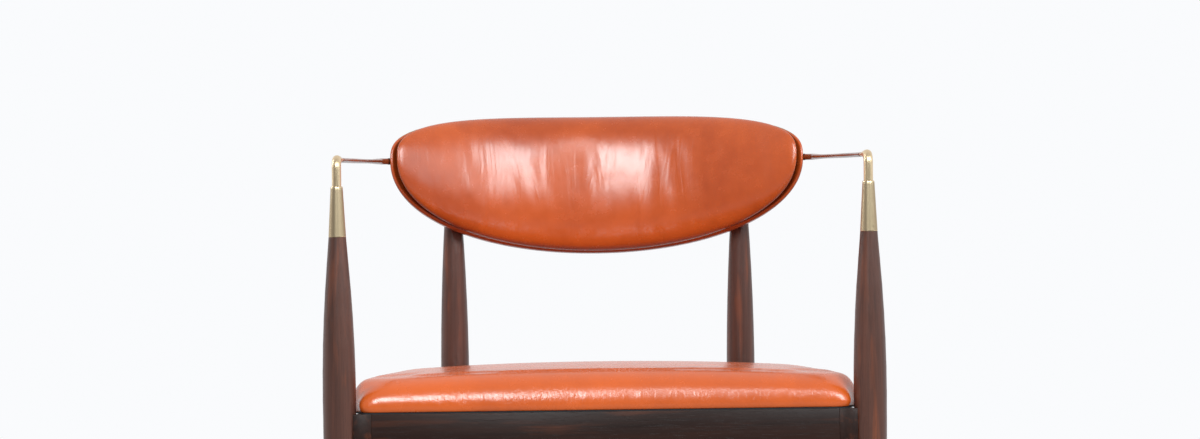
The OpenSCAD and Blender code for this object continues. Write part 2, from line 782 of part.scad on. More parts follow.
module seat_board() {
    color(plywood) in_seat() difference() {
        translate([0, 0, board_z0]) linear_extrude(seat_board_t) polygon(seat_outline(board_inset));
        mirrored() seat_screw_axes() seat_screw_bore();
    }
}

module dust_cover() {
    color(black) in_seat() difference() {
        linear_extrude(dust_cover_t) polygon(seat_outline(seat_tuck + 1));
        mirrored() seat_screw_axes() seat_screw_bore();
    }
}

// Back: its outline seen from the front, u across and v up from the arms

back_n = 80;
spine_half = 150;
spine_v = -32;

// One point of the outline: the same u above and below, so that strips across stay upright
function outline_point(i, half, rise, drop) =
    let (
        a = 360 * i / back_n,
        b = a - 4 * sin(2 * a),
        k = pow(abs(cos(b)), 0.95),
        v = i <= back_n / 2
            ? rise * pow(max(0, 1 - pow(k, 3.8)), 1 / 3)
            : -drop * pow(max(0, 1 - pow(k, 2.05)), 1 / 2.15)
    )
    [half * sign(cos(b)) * k, v];
function spine_point(p) = [max(-spine_half, min(spine_half, p[0])), spine_v];

// The outline drawn in by a distance towards the spine
function back_outline(inset, half, rise, drop) = [for (i = [0 : back_n - 1])
    let (p = outline_point(i, half, rise, drop), c = spine_point(p))
    p + (c - p) * inset / norm(c - p)];
function shell_outline(inset) = back_outline(inset, back_half, back_rise, back_drop);
function pad_outline(inset) = back_outline(inset, back_half - pad_inset, back_rise - 1, back_drop - 1);

// Height along the bent board at which a point is seen at v from the front
function sheared(u, v) =
    (v + (sqrt(pow(back_bend_r, 2) - u * u) - tip_y) * sin(back_recline)) / cos(back_recline);
function on_bend(p, r, forward = 0) = [p[0], sqrt(r * r - p[0] * p[0]) - forward, sheared(p[0], p[1])];
function bent_ring(points, r, forward = 0) = [for (p = points) on_bend(p, r, forward)];

module bent_board(outline, r0, r1) {
    intersection() {
        difference() {
            cylinder(r = r1, h = 4 * back_drop, center = true, $fn = 128);
            cylinder(r = r0, h = 4 * back_drop + 2, center = true, $fn = 128);
        }
        rotate([90, 0, 0]) translate([0, 0, -r1 - 1]) linear_extrude(r1 + 1)
            polygon([for (p = outline) [p[0], sheared(p[0], p[1])]]);
    }
}

module back_shell_board() {
    color(plywood) difference() {
        in_back() bent_board(shell_outline(leather_t + 2 * clear), back_bend_r - shell_board_t / 2,
            back_bend_r + shell_board_t / 2);
        tail_bores();
        mirrored() back_screw_axes() back_screw_bore();
        in_back() pad_screw_axes() pad_screw_bore();
    }
}

module back_shell_leather() {
    inner_front_r = shell_front_r + leather_t;
    inner_rear_r = shell_rear_r - leather_t;
    rings = concat(
        [for (a = [90, 45, 0]) bent_ring(shell_outline(shell_roll * (1 - cos(a))),
            shell_rear_r - shell_roll * (1 - sin(a)))],
        [for (a = [0, 45, 90]) bent_ring(shell_outline(shell_roll * (1 - cos(a))),
            shell_front_r + shell_roll * (1 - sin(a)))],
        [bent_ring(shell_outline(turned_under), shell_front_r),
            bent_ring(shell_outline(turned_under), inner_front_r),
            bent_ring(shell_outline(leather_t + clear), inner_front_r),
            bent_ring(shell_outline(leather_t + clear), inner_rear_r)]);
    color(cognac) difference() {
        in_back() bent_skin(rings);
        tail_bores();
        mirrored() back_screw_axes() back_screw_bore();
    }
}

// Front pad: its thickness grows quickly at the edge, then crowns to the middle

pad_middle = pad_t - pad_bulge;
pad_tuck = 4;

function crown_share(w) = pow(1 - pow(1 - w, 2.6), 1 / 2.2);
function end_thinning(u) = 1 - pad_thinning * pow(u / back_half, 2);

// Rings from the spine out to the fullest edge, w being the share of the way in to the spine
function pad_rings(wall, shares) = [for (w = shares)
    [for (q = pad_outline(wall))
        let (c = spine_point(q), p = c + (q - c) * (1 - w))
        on_bend(p, pad_rear_r, pad_bulge + (pad_middle * end_thinning(p[0]) - wall) * crown_share(w))]];

function pad_tuck_rings(wall, angles) = [for (a = angles)
    bent_ring(pad_outline(wall + pad_tuck * (1 - cos(a))), pad_rear_r,
        wall + (pad_bulge - wall) * (1 - sin(a)))];

module back_pad_leather() {
    rings = concat(
        [bent_ring(pad_outline(pad_tuck + turned_under), pad_rear_r, leather_t),
            bent_ring(pad_outline(pad_tuck + turned_under), pad_rear_r)],
        pad_tuck_rings(0, [90, 45]),
        pad_rings(0, [0, 0.03, 0.1, 0.25, 0.5, 0.8]));
    inner = concat(
        pad_tuck_rings(leather_t, [90]),
        pad_rings(leather_t, [0.03, 0.2, 0.6]));
    color(cognac) in_back() bent_skin(concat(reversed(inner), rings));
}

function reversed(list) = [for (i = [len(list) - 1 : -1 : 0]) list[i]];

module back_pad_foam() {
    wall = leather_t + gap;
    color(foam) in_back() bent_skin(concat(
        [bent_ring(pad_outline(pad_tuck + wall + 1), pad_board_front_r)],
        pad_rings(wall, [0.03, 0.2, 0.6])));
}

module back_pad_board() {
    color(plywood) in_back() difference() {
        bent_board(pad_outline(pad_tuck + leather_t + 1), pad_board_front_r, pad_board_rear_r);
        pad_screw_axes() pad_screw_bore();
    }
}

// Screws through the shell board into the pad board, under the outer leather

pad_screw_angle = 20;
pad_screw_rows = [0, -60];
pad_screw_l = shell_board_t / 2 + back_bend_r - shell_front_r + pad_board_t;

module pad_screw_axes() {
    for (a = [-pad_screw_angle, pad_screw_angle], z = pad_screw_rows)
        rotate([0, 0, a]) translate([0, back_bend_r + shell_board_t / 2, z]) rotate([90, 0, 0]) children();
}

module pad_screw_bore() {
    cylinder(r = screw_r + clear, h = pad_screw_l + clear);
    translate([0, 0, -1]) cylinder(r = screw_head_r + clear, h = screw_head_h + 1);
}

module pad_screws() {
    color(steel) in_back() pad_screw_axes() translate([0, 0, screw_head_h]) screw(pad_screw_l - screw_head_h);
}

// Screws from behind the rear legs into the shell board

back_screw_l = 31;
back_screw_head_at = 2 * leg_contact + leg_cope - screw_head_h;

// Frames behind the rear legs, their z axes pointing at the axis of the back
module back_screw_axes() {
    in_back() for (k = [-0.5, 0.5])
        rotate([0, 0, -leg_angle])
            translate([0, shell_rear_r + back_screw_head_at, contact_z + k * back_screw_pitch])
            rotate([90, 0, 0]) children();
}

module back_screw_bore() {
    translate([0, 0, -20]) cylinder(r = screw_head_r + clear, h = 20);
    translate([0, 0, -screw_head_h]) cylinder(r = screw_r + clear, h = back_screw_l + screw_head_h + clear);
}

module back_screws() {
    color(steel) mirrored() back_screw_axes() screw(back_screw_l);
}

front_leg_left();
front_leg_right();
rear_leg_left();
rear_leg_right();
foot_glides();
ferrule_left();
ferrule_right();
ferrule_pins();
arm_rod_left();
arm_rod_right();
arm_leather_left();
arm_leather_right();
arm_grommets();
front_rail();
rear_rail();
side_rail_left();
side_rail_right();
rail_dowels();
corner_blocks();
block_screws();
rear_leg_screws();
seat_board();
seat_foam();
seat_leather();
dust_cover();
seat_screws();
back_shell_board();
back_shell_leather();
back_pad_board();
back_pad_foam();
back_pad_leather();
pad_screws();
back_screws();
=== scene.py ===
import math

import bmesh
import bpy
from bpy.props import FloatProperty, FloatVectorProperty, PointerProperty
from bpy.types import Operator, Panel, PropertyGroup
from mathutils import Matrix, Vector, noise


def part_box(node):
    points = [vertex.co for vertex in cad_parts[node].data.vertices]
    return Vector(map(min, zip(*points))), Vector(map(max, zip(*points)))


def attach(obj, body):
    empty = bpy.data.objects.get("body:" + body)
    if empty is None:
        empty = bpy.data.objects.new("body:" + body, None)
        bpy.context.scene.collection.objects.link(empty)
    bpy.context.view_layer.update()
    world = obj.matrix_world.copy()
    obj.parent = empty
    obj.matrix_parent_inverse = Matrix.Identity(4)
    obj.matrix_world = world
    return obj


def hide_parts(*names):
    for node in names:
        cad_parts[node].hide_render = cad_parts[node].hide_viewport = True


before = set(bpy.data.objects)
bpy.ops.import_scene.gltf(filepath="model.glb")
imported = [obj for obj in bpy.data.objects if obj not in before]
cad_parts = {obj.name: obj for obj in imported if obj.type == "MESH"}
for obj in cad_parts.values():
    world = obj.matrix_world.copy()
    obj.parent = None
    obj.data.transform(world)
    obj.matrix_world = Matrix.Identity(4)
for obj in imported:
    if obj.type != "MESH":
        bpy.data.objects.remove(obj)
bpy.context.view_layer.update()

bl_info = {
    "name": "Leather Armchair",
    "version": (1, 0, 0),
    "blender": (4, 5, 0),
    "location": "View3D > Sidebar > Armchair",
    "description": "Dresses an armchair's frame in walnut, brass and cognac leather",
    "category": "Object",
}

ferrule_low, ferrule_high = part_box("ferrule_right")
LEG_X = (ferrule_low.x + ferrule_high.x) / 2
LEG_Y = (ferrule_low.y + ferrule_high.y) / 2
FERRULE_TOP = ferrule_high.z
UP = Vector((0, 0, 1))

# Depths in metres of the leather's relief
GRAIN_DEPTH = 0.000013
PORE_DEPTH = 0.000008
CREASE_DEPTH = 0.00003
PUCKER_DEPTH = 0.0006

# Lengths in metres over which the puckers grow, and over which the painted shade in the groove grows and
# ends
PUCKER_FADE = 0.015
GROOVE_SHADE_FADE_IN = 0.005
GROOVE_SHADE_FADE_OUT = 0.000625

# Small waves in the leather: the depth of each, its rates along three measures, and its seed. The depth
# is in metres for the pad, and for the seat it is a share of the seat's wrinkle.
SEAT_WRINKLES = ((1.0, (95, 60, 2.2), 5.0), (0.7, (30, -24, 1.5), 9.0))
PAD_RIPPLES = ((0.0012, (22, 0, 6), 3.0), (0.0010, (62, 9, 9), 7.0))

# A copy of a CAD node: what is merged, what counts as flat, and which edges stay sharp or are eased.
# Angles are in radians and lengths in metres.
MERGED_WITHIN = 2e-5
FLAT_BELOW = math.radians(0.4)
SHARP_ABOVE = math.radians(32)
EASED_ABOVE = 0.8
EASED_LENGTH = 0.015

# The arm along its length: where it thins out, gets flat, turns round again, and wears leather
THINS_OUT = (0, 0.1)
GETS_FLAT = (0.06, 0.36)
TURNS_ROUND = (0.80, 0.92)
SLEEVE_START = 2 / 26
# Share by which the flat part would narrow over the whole arm
FLAT_NARROWING = 0.22
# How deep a rod stands in its ferrule
ROD_DEPTH = 0.016

# The floor: how far it shows round the chair, over which length it fades, its tone as the camera sees
# it, and its tone for the light that it throws back
FLOOR_PLAIN = 0.8
FLOOR_FADE = 1.4
FLOOR_SEEN = (0.79, 0.77, 0.755)
FLOOR_CAST = (0.34, 0.33, 0.32)

# Where reflections go from the dim room to the bright background: depths on the floor in metres,
# and depths of a heading of length 1
FLOOR_ROOM = (-4.5, 1.2)
WORLD_ROOM = (-0.9, 0.3)

# Colours of the small moulded pieces
GROMMET_BROWN = (0.045, 0.022, 0.014)
GLIDE_BLACK = (0.014, 0.014, 0.015)

# The lamps: the point that they face, their colour, and the place, size and power in watts of each
LAMP_TARGET = (0, 0, 0.55)
LAMP_COLOUR = (0.88, 0.97, 1.0)
LAMPS = {
    "front_lamp": ((-0.53, -3.0, 2.2), (0.8, 1.25), 58),
    "side_lamp": ((1.78, -2.65, 2.2), (1.25, 1.15), 62),
    "left_lamp": ((-2.6, 0.5, 1.7), (0.4, 1.2), 16),
    "right_lamp": ((2.7, -1.2, 1.5), (1.6, 1.4), 12),
    "high_lamp": ((0.46, -2.9, 3.1), (0.3, 0.6), 8),
}


def length(name, description, default):
    """A length in metres."""
    return FloatProperty(name=name, description=description, default=default, unit="LENGTH", precision=4)


def amount(name, description, default):
    """A plain number."""
    return FloatProperty(name=name, description=description, default=default)


def angle(name, description, degrees):
    """An angle, given in degrees."""
    return FloatProperty(
        name=name, description=description, default=math.radians(degrees), subtype="ANGLE",
        unit="ROTATION"
    )


def colour(name, description, default):
    """A colour in linear light."""
    return FloatVectorProperty(
        name=name, description=description, default=default, subtype="COLOR", size=3, min=0, max=1
    )


class ArmchairSeat(PropertyGroup):
    rail_top: length("Rail Top", "Height of the top of the front rail at the front legs", 0.406)
    slope: angle("Slope", "Slope of the seat down to its back", 3.4)
    front: length("Front", "How far the seat stands in front of the front legs' centres", 0.013)
    rear: length("Rear", "Depth of the seat's back edge behind the front legs' centres", 0.4098)
    half_width: length("Half Width", "Half the seat's width between the front legs", 0.275)
    overhang: length("Overhang", "How far the seat widens over the side rails behind the legs", 0.016)
    taper: amount("Taper", "How much narrower each side gets for each unit of depth", 0.1185)
    corner: length("Corner Radius", "Radius of the seat's lower corners, seen from above", 0.014)
    corner_growth: length("Corner Growth", "How much rounder the corners are at the seat's top", 0.015)
    lower: length("Lower Edge", "Height of the seat's lower edge above the rails", 0.0016)
    fullest: length("Fullest Line", "Height of the seat's fullest line above the rails", 0.0095)
    side_height: length("Side Height", "Height of the seat's shoulder above the rails", 0.037)
    crown_across: length("Crown Across", "How far the seat crowns from side to side", 0.008)
    crown_along: length("Crown Along", "How far the seat crowns from front to back", 0.004)
    roll: length("Roll", "Width of the roll along the front and rear upper edges", 0.031)
    side_roll: length("Side Roll", "Width of the roll along the sides", 0.019)
    tuck: length("Tuck", "How far the lower edge is drawn in", 0.003)
    pull_in: length("Pull In", "How far the sides pull in between the corners", 0.003)
    slack: length("Slack", "How much smaller than its frame the seat starts, before it swells", 0.0015)
    swell: length("Swell", "The most that the seat may swell under pressure", 0.002)
    wrinkle: length("Wrinkle", "Depth of the small wrinkles along the seat's sides", 0.0006)


class ArmchairBack(PropertyGroup):
    arm_height: length("Arm Height", "Height of the middle of the arms", 0.6875)
    half_width: length("Half Width", "Half the width of the back", 0.260)
    rise: length("Rise", "Rise of the top edge above the arms", 0.0535)
    drop: length("Drop", "Drop of the lower edge below the arms", 0.122)
    recline: angle("Recline", "Recline of the back", 9)
    bend: length("Bend", "Radius to which the back is bent", 0.352)
    shell_rear: length("Shell Rear", "Radius of the outer leather's rear face", 0.3624)
    shell_front: length("Shell Front", "Radius of the outer leather's front face", 0.3418)
    shell_roll: length("Shell Roll", "Radius of the shell's rolled edge", 0.005)
    pad_inset: length("Pad Inset", "How far the pad lies inside the shell's outline at its ends", 0.009)
    pad_thickness: length("Pad Thickness", "Thickness of the front pad at its middle", 0.042)
    pad_bulge: length("Pad Bulge", "Distance from the shell to the pad's fullest edge", 0.011)
    pad_thinning: amount("Pad Thinning", "Share by which the pad thins out to its ends", 0.4)
    pad_tuck: length("Pad Tuck", "How far the pad's edge is drawn in towards the shell", 0.006)


class ArmchairArms(PropertyGroup):
    rod: length("Rod Radius", "Radius of an arm rod", 0.00515)
    bend: length("Bend Radius", "Radius of the bend above the ferrule, at the rod's middle", 0.009)
    flat_width: length("Flat Width", "Width of the rod where it is forged flat", 0.026)
    flat_thickness: length("Flat Thickness", "Thickness of the rod where it is forged flat", 0.003)
    tail: length("Tail Radius", "Radius of the rod where it enters the back", 0.0028)
    leather: length("Leather", "Thickness of the leather on an arm", 0.001)
    bow: length("Bow", "How far an arm bows outwards", 0.003)
    reach: length("Reach", "How far an arm keeps its first heading", 0.15)
    turn: length("Turn", "Length over which an arm turns in to the back", 0.052)
    grommet: length("Grommet", "How far the grommet stands out of the back", 0.0038)


class ArmchairFinishes(PropertyGroup):
    leather: colour("Leather", "Light parts of the back, dark parts of the seat", (0.63, 0.101, 0.014))
    leather_deep: colour("Deep Leather", "Dark parts of the back", (0.46, 0.064, 0.008))
    # Painted shade: the arms' leather is a darker copy of the chair's leather, for the shade on the thin
    # arms
    arm_leather: colour("Arm Leather", "Leather on the arms", (0.30, 0.060, 0.016))
    # Painted light: the seat's leather is a lighter copy of the back's leather, because the seat is lit
    # more
    seat_leather: colour("Seat Leather", "Light parts of the seat", (0.74, 0.118, 0.012))
    walnut: colour("Walnut", "Walnut between its figures", (0.135, 0.050, 0.034))
    walnut_dark: colour("Dark Walnut", "Walnut in its dark figure", (0.056, 0.022, 0.016))
    walnut_red: colour("Red Walnut", "Reddish streaks in the walnut", (0.270, 0.070, 0.028))
    brass: colour("Brass", "Satin champagne brass", (0.62, 0.475, 0.30))
    plywood: colour("Plywood", "Raw plywood and beech of the hidden pieces", (0.48, 0.31, 0.16))
    cloth: colour("Cloth", "Black cloth under the seat", (0.012, 0.012, 0.013))
    background: colour("Background", "White of the background", (0.955, 0.965, 0.982))


class ArmchairStage(PropertyGroup):
    camera_x: length("Camera X", "Place of the camera from side to side", -0.05336)
    camera_distance: length("Camera Distance", "Distance of the camera from the front legs", 2.5217)
    camera_height: length("Camera Height", "Height of the camera", 0.667)
    camera_yaw: angle("Camera Yaw", "Turn of the camera to the right", 1.1244)
    camera_pitch: angle("Camera Pitch", "Tilt of the camera downwards", 1.1078)
    camera_roll: angle("Camera Roll", "Roll of the camera, clockwise", 0.6383)
    lens: amount("Lens", "Focal length of the camera in millimetres", 68.45)
    floor_radius: length("Floor Radius", "Radius of the floor", 5.0)
    dim_room: amount("Dim Room", "How bright reflections show the room in front of the chair", 0.16)
    ambient: amount("Ambient", "Strength of the light from all round", 0.25)


class ArmchairSettings(PropertyGroup):
    seat: PointerProperty(type=ArmchairSeat)
    back: PointerProperty(type=ArmchairBack)
    arms: PointerProperty(type=ArmchairArms)
    finishes: PointerProperty(type=ArmchairFinishes)
    stage: PointerProperty(type=ArmchairStage)


class Wire:
    """The value of one socket; arithmetic on it adds the Math nodes it needs."""

    def __init__(self, nodes, socket):
        self.nodes = nodes
        self.socket = socket

    def __add__(self, other):
        return self.nodes.math("ADD", self, other)

    def __sub__(self, other):
        return self.nodes.math("SUBTRACT", self, other)

    def __mul__(self, other):
        return self.nodes.math("MULTIPLY", self, other)

    __radd__ = __add__
    __rmul__ = __mul__


class Nodes:
    """A node tree with its output, and short ways to add nodes to it."""

    def __init__(self, tree, output):
        self.tree = tree
        self.tree.nodes.clear()
        self.out = self.tree.nodes.new("ShaderNodeOutput" + output)

    def node(self, kind, values=None, output=0, **settings):
        """Adds a node with its settings and its inputs' values, and gives the wire of one output."""
        node = self.tree.nodes.new("ShaderNode" + kind)
        for name, value in settings.items():
            setattr(node, name, value)
        for name, value in (values or {}).items():
            self.feed(node.inputs[name], value)
        return Wire(self, node.outputs[output])

    def feed(self, socket, value):
        if isinstance(value, Wire):
            self.tree.links.new(value.socket, socket)
        elif isinstance(value, (int, float)) or len(value) == len(socket.default_value):
            socket.default_value = value
        else:
            socket.default_value = (*value, 1)

    def show(self, shader):
        self.feed(self.out.inputs["Surface"], shader)

    def math(self, operation, a, b=0.0):
        return self.node("Math", {0: a, 1: b}, operation=operation)

    def rise(self, value, start, end, low=0.0, high=1.0):
        """Goes from low to high while a value goes from start to end."""
        values = {"Value": value, "From Min": start, "From Max": end, "To Min": low, "To Max": high}
        return self.node("MapRange", values)

    def coordinate(self, point, axis):
        return self.node("SeparateXYZ", {"Vector": point}, axis)

    def ray(self, kind):
        """1 for rays of one kind and 0 for the others."""
        return self.node("LightPath", output="Is " + kind + " Ray")

    def looked_at(self):
        """1 for rays that look at something, straight or in a reflection, and 0 for the others."""
        seen = self.math("MAXIMUM", self.ray("Camera"), self.ray("Glossy"))
        return self.math("MAXIMUM", seen, self.ray("Transmission"))

    def backdrop(self, kind, background, depth, span, dim_room):
        """Shines as the background, and dimmer in reflections of the room in front of the chair."""
        room = self.rise(depth, *span, dim_room)
        strength = self.math("MAXIMUM", room, self.ray("Camera"))
        return self.node(kind, {"Color": background, "Strength": strength})


class Finish(Nodes):
    """A material, and the nodes that make it."""

    def __init__(self, name):
        self.material = bpy.data.materials.new(name)
        self.material.use_nodes = True
        super().__init__(self.material.node_tree, "Material")

    def point(self):
        return self.node("TexCoord", output="Object")

    def stretched(self, point, scale):
        return self.node("Mapping", {"Vector": point, "Scale": scale})

    def noise(self, point, scale, detail=3.0, roughness=0.5, distortion=0.0):
        values = {"Vector": point, "Scale": scale, "Detail": detail}
        values.update({"Roughness": roughness, "Distortion": distortion})
        return self.node("TexNoise", values)

    def mix(self, share, a, b):
        return self.node("Mix", {0: share, 6: a, 7: b}, 2, data_type="RGBA")

    def bump(self, height):
        return self.node("Bump", {"Height": height, "Distance": 1.0, "Strength": 1.0})

    def surface(self, values):
        self.show(self.node("BsdfPrincipled", values))
        return self.material


def toned(tone, factor):
    """A colour made lighter or darker."""
    return tuple(factor * part for part in tone)


def leather_finish(name, light, deep, crease_axis, fold_depth=0.0008, puckered_below=0.0, painted_groove_shade=None):
    """Smooth waxed hide: soft clouds of colour, fine grain, faint creases across crease_axis, and
    painted shade in the groove between pad and shell when one is given.
    """
    f = Finish(name)
    p = f.point()
    clouds = f.noise(p, 8.0, detail=4.0, roughness=0.55, distortion=0.4)
    mottle = f.noise(p, 55.0, detail=5.0, roughness=0.6)
    tone = f.rise(clouds * 0.78 + mottle * 0.22, 0.36, 0.62)
    stretch = tuple(5.0 if i == crease_axis else 1.0 for i in range(3))
    folds = f.noise(f.stretched(p, stretch), 9.0, detail=3.0, roughness=0.44, distortion=0.9)
    crease = f.rise(f.math("ABSOLUTE", folds - 0.5), 0.0, 0.03, 1.0, 0.0)
    grain_cells = {"Vector": p, "Scale": 850.0, "Smoothness": 0.6}
    grain = f.node("TexVoronoi", grain_cells, feature="SMOOTH_F1")
    pores = f.noise(p, 1900.0, detail=2.0)
    height = grain * GRAIN_DEPTH + pores * PORE_DEPTH + folds * fold_depth - crease * CREASE_DEPTH
    if puckered_below:
        low = f.rise(f.coordinate(p, "Z"), puckered_below - PUCKER_FADE, puckered_below, 1.0, 0.0)
        puckers = f.noise(
            f.stretched(p, (1.0, 1.0, 0.55)), 190.0, detail=3.0, roughness=0.55, distortion=1.1
        )
        patches = f.rise(f.noise(p, 14.0, detail=2.0), 0.40, 0.60, 0.15)
        height = height + puckers * low * patches * PUCKER_DEPTH
    base = f.mix(tone, deep, light)
    # Painted shade: the leather is darkened nearly to black in the groove between the back's pad and its
    # shell
    if painted_groove_shade:
        row, inner, outer = painted_groove_shade
        turn = row.inverted()
        in_row = f.node(
            "Mapping", {"Vector": p, "Location": turn.translation, "Rotation": turn.to_euler()}
        )
        across, along = (f.coordinate(in_row, axis) for axis in "XY")
        radius = f.math("SQRT", across * across + along * along)
        painted_shade = f.rise(radius, inner, inner + GROOVE_SHADE_FADE_IN)
        painted_shade = painted_shade * f.rise(radius, outer - GROOVE_SHADE_FADE_OUT, outer, 1.0, 0.0)
        base = f.mix(painted_shade * 0.85, base, toned(deep, 0.12))
    return f.surface({
        "Base Color": base,
        "Roughness": 0.19 + 0.14 * mottle,
        "Normal": f.bump(height),
        "Specular IOR Level": 0.85,
    })


def walnut_finish(name, finishes, along, painted_shade=1.0, shine=0.45):
    """Oiled walnut with its grain along one axis: broad figure, reddish streaks and dark pores; a shade
    factor below 1 darkens it as painted shade.
    """
    plain = toned(finishes.walnut, painted_shade)
    dark = toned(finishes.walnut_dark, painted_shade)
    red = toned(finishes.walnut_red, painted_shade ** 0.6)
    f = Finish(name)
    p = f.point()

    def grain(across, length_wise, **pattern):
        scale = tuple(length_wise if i == along else across for i in range(3))
        return f.noise(f.stretched(p, scale), 1.0, **pattern)

    figure = grain(38.0, 2.6, detail=4.0, roughness=0.6, distortion=0.6)
    streaks = grain(210.0, 5.0, detail=4.0, roughness=0.6)
    reddish = f.rise(grain(90.0, 7.0, roughness=0.55, distortion=0.4), 0.55, 0.72)
    pore = f.rise(grain(1500.0, 45.0, detail=2.0), 0.60, 0.70)
    base = f.mix(f.rise(figure * 0.6 + streaks * 0.4, 0.38, 0.66), plain, dark)
    base = f.mix(reddish * 0.5, base, red)
    base = f.mix(pore * 0.6, base, dark)
    return f.surface({
        "Base Color": base,
        "Roughness": 0.30 + 0.12 * streaks + 0.12 * pore,
        "Normal": f.bump(streaks * 0.00004 - pore * 0.00005),
        "Specular IOR Level": shine,
    })


def brass_finish(name, brass, dull, polished_glint_rims=()):
    """Satin brass, brushed along its length and as dull as told, with its rims polished and lightened in
    colour as a painted glint.
    """
    f = Finish(name)
    p = f.point()
    lines = f.noise(f.stretched(p, (700.0, 700.0, 40.0)), 1.0)
    smudges = f.noise(p, 90.0, detail=4.0, roughness=0.6)
    tone = f.mix(smudges * 0.5 + lines * 0.2, brass, toned(brass, 0.72))
    rough = dull + 0.10 * smudges + 0.05 * lines
    height = f.coordinate(p, "Z")
    for low, high in polished_glint_rims:
        # Each rim is really polished, with lower roughness, and its colour is made lighter as a painted
        # glint
        polish_and_glint = f.math("GREATER_THAN", height, low) * f.math("LESS_THAN", height, high)
        tone = f.mix(polish_and_glint, tone, toned(brass, 1.45))
        rough = rough - polish_and_glint * 0.2
    return f.surface({
        "Base Color": tone,
        "Metallic": 1.0,
        "Roughness": rough,
        "Normal": f.bump(lines * 0.000003),
    })


def cloth_finish(name, black):
    """Thin black cloth with a plain weave."""
    f = Finish(name)
    thread = {"Vector": f.point(), "Scale": 260.0, "Distortion": 0.4}
    across, along = (f.node("TexWave", thread, bands_direction=way) for way in "XY")
    weave = across * along
    return f.surface({
        "Base Color": f.mix(weave, black, toned(black, 3.0)),
        "Roughness": 0.86 + 0.1 * weave,
        "Normal": f.bump(weave * 0.0002),
    })


def moulded_finish(name, base, roughness):
    """Moulded dark plastic or rubber with a fine spark texture."""
    f = Finish(name)
    p = f.point()
    texture = f.noise(p, 1400.0, detail=2.0)
    return f.surface({
        "Base Color": f.mix(f.noise(p, 60.0), base, toned(base, 1.5)),
        "Roughness": roughness + 0.12 * texture,
        "Normal": f.bump(texture * 0.00003),
    })


def steel_finish(name):
    """Zinc-plated screws."""
    f = Finish(name)
    stains = f.noise(f.point(), 300.0, detail=4.0, roughness=0.6)
    return f.surface({
        "Base Color": f.mix(stains, (0.55, 0.56, 0.58), (0.40, 0.40, 0.41)),
        "Metallic": 1.0,
        "Roughness": 0.28 + 0.2 * stains,
    })


def raw_wood_finish(name, tone):
    """Unfinished plywood and beech."""
    f = Finish(name)
    p = f.point()
    plies = f.noise(f.stretched(p, (6.0, 6.0, 420.0)), 1.0, roughness=0.6, distortion=0.3)
    flecks = f.noise(f.stretched(p, (30.0, 400.0, 400.0)), 1.0)
    return f.surface({
        "Base Color": f.mix(plies * 0.7 + flecks * 0.3, tone, toned(tone, 0.6)),
        "Roughness": 0.62 + 0.15 * flecks,
        "Normal": f.bump(flecks * 0.00005),
    })


def upright_edges(bm):
    """The edges of a blank that run along its z axis, before they are cut."""
    return [e for e in bm.edges if abs(e.verts[0].co.z - e.verts[1].co.z) > 0.5]


def slab(columns, rows, layers):
    """A blank of even quads: a flat slab from -1 to 1 in x and y and from 0 to 1 in z."""
    bm = bmesh.new()
    bmesh.ops.create_grid(bm, x_segments=columns, y_segments=rows, size=1)
    made = bmesh.ops.extrude_face_region(bm, geom=bm.faces[:], use_keep_orig=True)
    upper = [v for v in made["geom"] if isinstance(v, bmesh.types.BMVert)]
    bmesh.ops.translate(bm, vec=UP, verts=upper)
    bmesh.ops.subdivide_edges(bm, edges=upright_edges(bm), cuts=layers - 1, use_grid_fill=True)
    bmesh.ops.recalc_face_normals(bm, faces=bm.faces)
    return bm


def tube(sides, stations, capped=True):
    """A blank tube round the z axis, from 0 to 1, cut into stations."""
    bm = bmesh.new()
    bmesh.ops.create_cone(
        bm, cap_ends=capped, cap_tris=False, segments=sides, radius1=1, radius2=1, depth=1
    )
    bmesh.ops.translate(bm, vec=UP / 2, verts=bm.verts)
    bmesh.ops.subdivide_edges(bm, edges=upright_edges(bm), cuts=stations - 1, use_grid_fill=True)
    return bm


def shape(bm, place):
    """Moves every vertex of a blank to its place."""
    for v in bm.verts:
        v.co = place(v.co)
    bmesh.ops.remove_doubles(bm, verts=bm.verts, dist=1e-6)
    bmesh.ops.recalc_face_normals(bm, faces=bm.faces)


def finish_piece(name, bm, material, replaced):
    """Makes a smooth piece of a bmesh, which rides on the chair and stands for its CAD nodes."""
    mesh = bpy.data.meshes.new(name)
    bm.to_mesh(mesh)
    bm.free()
    mesh.shade_smooth()
    mesh.materials.append(material)
    piece = bpy.data.objects.new(name, mesh)
    bpy.context.scene.collection.objects.link(piece)
    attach(piece, "root")
    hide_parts(*replaced)
    return piece


def subdivide(piece):
    smooth = piece.modifiers.new("Subdivision", "SUBSURF")
    smooth.levels = 1
    smooth.render_levels = 1


def smooth_copy(name, node, material, bevel=0.0):
    """Makes a smooth piece from a merged copy of a CAD node; a bevel eases its long edges."""
    bm = bmesh.new()
    bm.from_mesh(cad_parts[node].data)
    bmesh.ops.remove_doubles(bm, verts=bm.verts, dist=MERGED_WITHIN)
    if bevel:
        bmesh.ops.dissolve_limit(bm, angle_limit=FLAT_BELOW, verts=bm.verts, edges=bm.edges)
        long_edges = [
            e for e in bm.edges if e.calc_face_angle(0) > EASED_ABOVE and e.calc_length() > EASED_LENGTH
        ]
        bmesh.ops.bevel(
            bm, geom=long_edges, offset=bevel, segments=2, profile=0.5, affect="EDGES", material=-1,
            clamp_overlap=True
        )
    for edge in bm.edges:
        edge.smooth = edge.calc_face_angle(0) < SHARP_ABOVE
    return finish_piece(name, bm, material, (node,))


